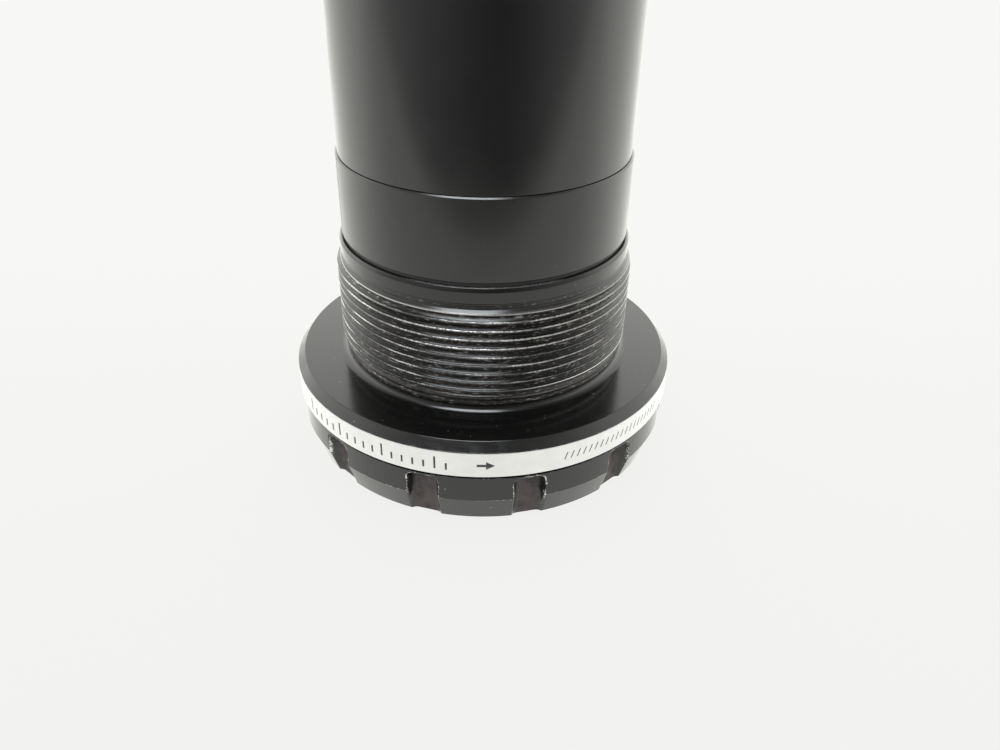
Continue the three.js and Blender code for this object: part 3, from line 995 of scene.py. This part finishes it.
class CupLook(Look):
    """Black anodising, rubbed bare on thread crests and chipped at tool notches; partly placed as painted
    highlight and shade.
    """

    def __init__(self):
        super().__init__("black_anodised_aluminium", IOR=1.5)
        self.crest, self.bare, self.cut, self.notch = map(self.value, ("wear", "bare", "cut", "notch"))
        self.fine = self.noise(5.0, detail=5.0, roughness=0.7)
        self.coarse = self.noise(0.7)
        self.streaks = self.round_noise(6.0, 9.0, detail=3.0)
        self.scrapes = self.round_noise(3.0, 1.3, detail=4.0)
        self.grit = self.round_noise(24.0, 8.0, detail=4.0)
        self.facing = self.axis_share()
        self.rightward = self.right_share()
        self.grime = self.times(self.value("grime"), self.band(self.bare, 0.2, 0.8, 1.0, 0.0))
        self.flank = self.most(self.grime, self.times(self.crest, 0.7))
        knocks = (self.times(self.near_edge(corner, 0.03, 0.14), weight) for corner, weight in CHIPPED_EDGES)
        self.edges = self.most(self.value("chipped"), *knocks)
        self.on_shoulder = self.band(self.section[1], FLANGE_HEIGHT - 0.05, FLANGE_HEIGHT - 0.01)

    def worn_edges_and_lip_highlight(self):
        """Metal where edges were knocked; on the lip's top edge, a painted highlight kept to the front and
        back.
        """
        lip = self.near_edge((LIP_TOP_RADIUS - 0.2, CUP_LENGTH), 0.12, 0.24)
        # Painted highlight: the lip's chips of metal are kept to the front and the back.
        lip = self.times(lip, self.band(self.facing, 0.85, 0.95), self.band(self.fine, 0.4, 0.52, 0.1, 0.8))
        chips = self.plus(self.times(self.fine, 0.6), self.times(self.coarse, 0.4))
        chips = self.band(self.plus(chips, self.times(self.edges, 0.12)), 0.58, 0.66)
        return self.most(self.times(self.edges, chips), lip)

    def rubbed_and_shaded_crests(self):
        """Metal along the crests: in dashes at the front and the back, thinned on the right as painted shade.
        """
        height = self.section[1]
        upper_turns = self.band(height, RUN_OUT_TOP, THREAD_TOP, 0.0, 0.1)
        unbroken = self.band(self.facing, 0.95, 0.6, 0.15, 0.75)
        rubbed = self.times(
            self.band(self.plus(self.scrapes, upper_turns), 0.5, 0.62, 0.12, 0.85),
            self.most(unbroken, self.band(self.fine, 0.42, 0.52)),
            # Painted shade: less metal on the right-hand side.
            self.band(self.rightward, 0.2, 0.8, 1.0, 0.5),
        )
        last_turn = self.band(height, RUN_OUT_TOP + 0.35, RUN_OUT_TOP + 0.2)
        last_turn = self.times(last_turn, self.band(self.rightward, 0.1, 0.45))
        return self.times(self.band(self.crest, 0.4, 0.9), self.most(rubbed, last_turn))

    def thread_start(self):
        """Metal on the chamfer the thread starts from and the edge between them, plus painted highlight and
        shade.
        """
        radius, height = self.section
        edge = self.times(
            self.band(self.cut, -0.12, -0.04),
            self.band(height, THREAD_TOP - 0.1, THREAD_TOP),
            self.band(self.cut, 0.28, 0.18, 0.0, 0.75),
            # Painted shade: less metal on this edge at the right-hand side.
            self.band(self.rightward, 0.2, 0.7, 1.0, 0.5),
            self.band(radius, ROOT_RADIUS + 0.05, ROOT_RADIUS + 0.2),
        )
        tool_marks = self.plus(self.times(self.round_noise(1.2, 14.0), 0.5), self.times(self.scrapes, 0.5))
        # Painted highlight: metal on the chamfer is made likelier at the front and the back.
        front_and_back_highlight = self.band(self.facing, 0.8, 0.97, 0.0, 0.25)
        polish_and_highlight = self.band(self.plus(tool_marks, front_and_back_highlight), 0.62, 0.7)
        lower_half = self.band(self.cut, 0.55, 0.15, 0.03, 0.3)
        return self.most(edge, self.times(self.bare, lower_half, polish_and_highlight))

    def colour(self, metal):
        dark = self.blend(self.band(self.streaks, 0.35, 0.65), grey(0.004), grey(0.008))
        caked = self.plus(self.times(self.grit, 0.5), self.times(self.round_noise(2.5, 9.0), 0.5))
        dirty = self.blend(self.times(self.grime, self.band(caked, 0.44, 0.6)), dark, CAKED_DIRT)
        patches = self.times(self.band(self.coarse, 0.3, 0.62), self.band(self.fine, 0.3, 0.6, 0.4, 1.0))
        stained = self.blend(self.times(self.notch, patches), dirty, NOTCH_FLOOR_STAIN)
        dust = self.most(self.specks(1.2, 0.03), self.times(self.specks(2.1, 0.12), self.on_shoulder))
        return self.blend(self.times(dust, 0.6), self.blend(metal, stained, BARE_METAL), grey(0.5))

    def roughness(self, metal):
        radius, height = self.section
        on_chamfer = self.band(radius, SHOULDER_RADIUS - 0.05, SHOULDER_RADIUS + 0.1)
        on_chamfer = self.times(on_chamfer, self.band(height, BAND_BOTTOM, BAND_TOP))
        return self.plus(
            self.band(self.streaks, 0.3, 0.7, 0.09, 0.15),
            self.times(on_chamfer, self.band(self.coarse, 0.35, 0.7, 0.0, 0.1)),
            self.band(self.fine, 0.4, 0.65, 0.0, 0.05),
            self.times(self.grime, 0.18),
            self.times(self.on_shoulder, 0.05),
            self.times(self.notch, 0.4),
            self.times(metal, 0.1),
        )

    def relief(self):
        radius, height = self.section
        lathe = self.bump(self.streaks, LATHE_DEPTH)
        flank_lines = self.plus(self.round_noise(2.5, 7.0), self.grit)
        lines = self.bump(self.times(flank_lines, self.flank), FLANK_DEPTH, lathe)
        on_ring = self.band(radius, RIM_RADIUS - 0.4, RIM_RADIUS - 0.2)
        on_ring = self.times(on_ring, self.band(height, RING_TOP, RING_TOP - 0.2))
        marks = self.times(self.round_noise(60.0, 0.15, detail=1.0), on_ring)
        chatter = self.bump(marks, CHATTER_DEPTH, lines)
        rough_places = self.most(self.edges, self.crest, self.grime, self.notch)
        return self.bump(self.times(self.noise(7.0), rough_places), PIT_DEPTH, chatter)

    def finished(self):
        glints = self.times(self.flank, self.band(self.grit, 0.57, 0.68, 0.0, 0.75))
        metal = self.most(self.worn_edges_and_lip_highlight(), self.rubbed_and_shaded_crests(), self.thread_start(), glints)
        colour, roughness = self.colour(metal), self.roughness(metal)
        return self.connect(Base_Color=colour, Metallic=metal, Roughness=roughness, Normal=self.relief())


def plastic_look(name, level, low, high, ior=1.5):
    """A satin black moulding or extrusion, with a faint grain, haze and a little dust."""
    look = Look(name, IOR=ior)
    haze = look.noise(0.12, detail=2.0)
    colour = look.blend(look.band(haze, 0.3, 0.7), grey(level * 0.8), grey(level * 1.2))
    colour = look.blend(look.times(look.specks(2.2, 0.02), 0.35), colour, grey(0.4))
    grain = look.bump(look.noise(14.0, detail=4.0), 0.0006)
    return look.connect(Base_Color=colour, Roughness=look.band(haze, 0.3, 0.7, low, high), Normal=grain)


def grained_look(look, grain, stain, colours, roughness, depth):
    """A plain surface whose colour follows a stain, and its roughness and relief a grain."""
    return look.connect(
        Base_Color=look.blend(stain, *colours),
        Roughness=look.band(grain, 0.3, 0.7, *roughness),
        Normal=look.bump(grain, depth),
    )


def rubber_look():
    look = Look("seal_rubber", IOR=1.5)
    grain = look.noise(10.0, detail=5.0)
    stain = look.band(grain, 0.3, 0.7)
    return grained_look(look, grain, stain, (grey(0.006), grey(0.012)), (0.5, 0.65), 0.003)


def nylon_look():
    look = Look("cage_nylon", IOR=1.53, Subsurface_Weight=0.1)
    grain = look.noise(5.0, detail=4.0)
    stain = look.band(grain, 0.3, 0.7)
    return grained_look(look, grain, stain, ((0.36, 0.28, 0.14, 1), (0.3, 0.23, 0.11, 1)), (0.4, 0.55), 0.002)


def label_look():
    look = Look("label_white", IOR=1.45)
    stain = look.band(look.noise(0.5), 0.3, 0.75)
    whites = (0.82, 0.82, 0.815, 1), (0.77, 0.77, 0.765, 1)
    return grained_look(look, look.noise(6.0, detail=5.0), stain, whites, (0.35, 0.5), 0.001)


def steel_look(name, level, low, high):
    look = Look(name, Metallic=1.0)
    stain = look.band(look.noise(0.6), 0.3, 0.7)
    greys = grey(level, 0.01), grey(level * 0.85, 0.02)
    return grained_look(look, look.round_noise(3.0, 16.0), stain, greys, (low, high), 0.0002)


def ink_look():
    look = Look("label_ink", IOR=1.45)
    worn = look.noise(12.0, detail=4.0)
    colour = look.blend(look.band(worn, 0.55, 0.75), grey(0.045), grey(0.22))
    return look.connect(Base_Color=colour, Roughness=look.band(worn, 0.3, 0.7, 0.4, 0.6))


ANODISED = CupLook().finished()
COLLAR = plastic_look("collar_black_plastic", 0.002, 0.2, 0.26, ior=1.56)
TUBE = plastic_look("tube_black", 0.002, 0.17, 0.23, ior=1.6)
COVER = plastic_look("cover_black_plastic", 0.015, 0.38, 0.48)
LABEL = label_look()
INK = ink_look()
RING_STEEL = steel_look("bearing_steel", 0.6, 0.18, 0.3)
BALL_STEEL = steel_look("ball_steel", 0.75, 0.05, 0.09)
RUBBER = rubber_look()
NYLON = nylon_look()


# The object

for end in (End("drive", False, -1), End("non_drive", True, 1)):
    make_cup(end)
    make_label(end)
    make_bearing(end)
    make_cover(end)
    make_collar(end)
    make_o_ring(end)
make_tube(End("", False, 0))


# Stage, in metres

FLOOR_SIZE = 6.0
SEEN_FLOOR_GLOW = (0.82, 0.86)
SEEN_FLOOR_SHADE = 0.075
SEEN_FLOOR_TINT = (1, 1, 0.985)
HIDDEN_FLOOR_GLOW = (0.85, 1.35)
HIDDEN_FLOOR_SHADE = 0.45
HIDDEN_TINT = (0.995, 1.0, 0.96)
BACKDROP = 0.935
BRIGHT_DIRECTION = (0.0, 0.8, 0.6)
DIM_SIDE = 0.6
BRIGHT_SIDE = 2.5
OVERHEAD_SHARE = 0.1


def make_flat(name, size_x, size_y):
    shape = bmesh.new()
    bmesh.ops.create_grid(shape, x_segments=8, y_segments=8, size=0.5)
    bmesh.ops.scale(shape, vec=(size_x, size_y, 1), verts=shape.verts)
    flat = add_object(name, mesh_of(name, shape))
    return flat


def lit_paper(look, colour, tint, glow):
    """Paper that has a colour of its own and glows, more towards the back."""
    y = look.round_place[1]
    diffuse = look.node("BsdfDiffuse", {"Color": colour})
    emission = look.node("Emission", {"Color": (*tint, 1), "Strength": look.band(y, *glow)})
    return look.node("AddShader", {0: diffuse.outputs[0], 1: emission.outputs[0]}).outputs[0]


def make_floor():
    """White paper. It lights the object as paper does, and is seen nearly burnt out, with a slight shadow."""
    look = Look("floor_paper")
    colours = [(*(level * HIDDEN_FLOOR_SHADE * share for level in HIDDEN_TINT), 1) for share in (1, 0.98)]
    colour = look.blend(look.noise(0.01, detail=2.0), *colours)
    hidden = lit_paper(look, colour, HIDDEN_TINT, (-60, 30, *HIDDEN_FLOOR_GLOW))
    seen = lit_paper(look, grey(SEEN_FLOOR_SHADE), SEEN_FLOOR_TINT, (-75, 60, *SEEN_FLOOR_GLOW))
    is_seen = look.node("LightPath").outputs["Is Camera Ray"]
    floor = make_flat("floor", FLOOR_SIZE, FLOOR_SIZE)
    floor.data.materials.append(look.show(look.node("MixShader", {0: is_seen, 1: hidden, 2: seen})))


def make_world():
    """Soft light from all round, but weak from overhead and from the camera's side."""
    world = bpy.data.worlds.new("studio")
    world.use_nodes = True
    bpy.context.scene.world = world
    sky = Nodes(world.node_tree)
    direction = sky.node("TexCoord").outputs["Generated"]
    towards = sky.node("VectorMath", {0: direction, 1: BRIGHT_DIRECTION}, operation="DOT_PRODUCT")
    level = sky.band(towards.outputs["Value"], -0.25, 0.35, DIM_SIDE, BRIGHT_SIDE)
    overhead = sky.band(sky.node("SeparateXYZ", {0: direction}).outputs["Z"], 0.45, 0.92, 1.0, OVERHEAD_SHARE)
    is_seen = sky.node("LightPath").outputs["Is Camera Ray"]
    strength = sky.node("Mix", {0: is_seen, 2: sky.times(level, overhead), 3: BACKDROP}).outputs[0]
    background = world.node_tree.nodes["Background"]
    sky.feed(background.inputs["Strength"], strength)
    sky.feed(background.inputs["Color"], (*HIDDEN_TINT, 1))


CAMERA_PLACE = Vector((0.0, -0.09204, 0.06442))
CAMERA_LENS = 30.06
CAMERA_SENSOR = 36
CAMERA_PITCH = math.radians(32.909)
CAMERA_YAW = math.radians(1.328)
CAMERA_ROLL = math.radians(-1.006)
NEAR_CLIP, FAR_CLIP = 0.005, 20


def make_camera():
    data = bpy.data.cameras.new("camera")
    data.lens = CAMERA_LENS
    data.sensor_width = CAMERA_SENSOR
    data.clip_start = NEAR_CLIP
    data.clip_end = FAR_CLIP
    camera = add_object("camera", data)
    yaw = Matrix.Rotation(-CAMERA_YAW, 4, "Z")
    pitch = Matrix.Rotation(math.pi / 2 - CAMERA_PITCH, 4, "X")
    roll = Matrix.Rotation(-CAMERA_ROLL, 4, "Z")
    camera.matrix_world = Matrix.Translation(CAMERA_PLACE) @ yaw @ pitch @ roll
    bpy.context.scene.camera = camera


CARD_WIDTH = 0.7
CARD_HALF_DARK = 120
CARD_SOFT_MIDDLE = 40
PANEL_LEFT, PANEL_RIGHT = -0.18, 0.057
PANEL_FRONT, PANEL_BACK = -0.32, -0.06
PANEL_HEIGHT = 0.4
PANEL_STRENGTH = 11.0
PANEL_TINT = (0.93, 0.97, 1.0)


def light_reflections(flat, look, strength, tint=(1, 1, 1)):
    """Makes a flat piece glow, for reflections only."""
    glow = look.node("Emission", {"Color": (*tint, 1), "Strength": strength})
    flat.data.materials.append(look.show(glow))
    flat.visible_camera = flat.visible_diffuse = flat.visible_shadow = False


def make_dim_card(name, middle_x, y, bottom, top, darkest, spread):
    """An upright card on the camera's side, darkest in the middle."""
    card = make_flat(name, CARD_WIDTH, top - bottom)
    middle = (middle_x, y, (bottom + top) / 2)
    card.matrix_world = Matrix.Translation(middle) @ Matrix.Rotation(math.pi / 2, 4, "X")
    look = Look(name)
    x = look.round_place[0]
    across = look.maths("SQRT", look.plus(look.times(x, x), CARD_SOFT_MIDDLE**2))
    across = look.maths("SUBTRACT", across, 0.6 * CARD_SOFT_MIDDLE)
    share = look.maths("DIVIDE", across, look.plus(across, CARD_HALF_DARK))
    light_reflections(card, look, look.plus(look.times(share, spread), darkest))


def make_panel():
    """A bright panel overhead, on the camera's side."""
    panel = make_flat("light_panel", PANEL_RIGHT - PANEL_LEFT, PANEL_BACK - PANEL_FRONT)
    middle = ((PANEL_LEFT + PANEL_RIGHT) / 2, (PANEL_FRONT + PANEL_BACK) / 2, PANEL_HEIGHT)
    panel.matrix_world = Matrix.Translation(middle)
    light_reflections(panel, Look("light_panel"), PANEL_STRENGTH, PANEL_TINT)


make_floor()
make_world()
make_camera()
make_dim_card("far_card", 0.035, -0.16, 0.02, 0.115, 0.0, 1.15)
make_dim_card("near_card", 0.012, -0.086, 0.002, 0.045, 0.05, 1.2)
make_panel()
bpy.context.scene.view_settings.view_transform = "Standard"
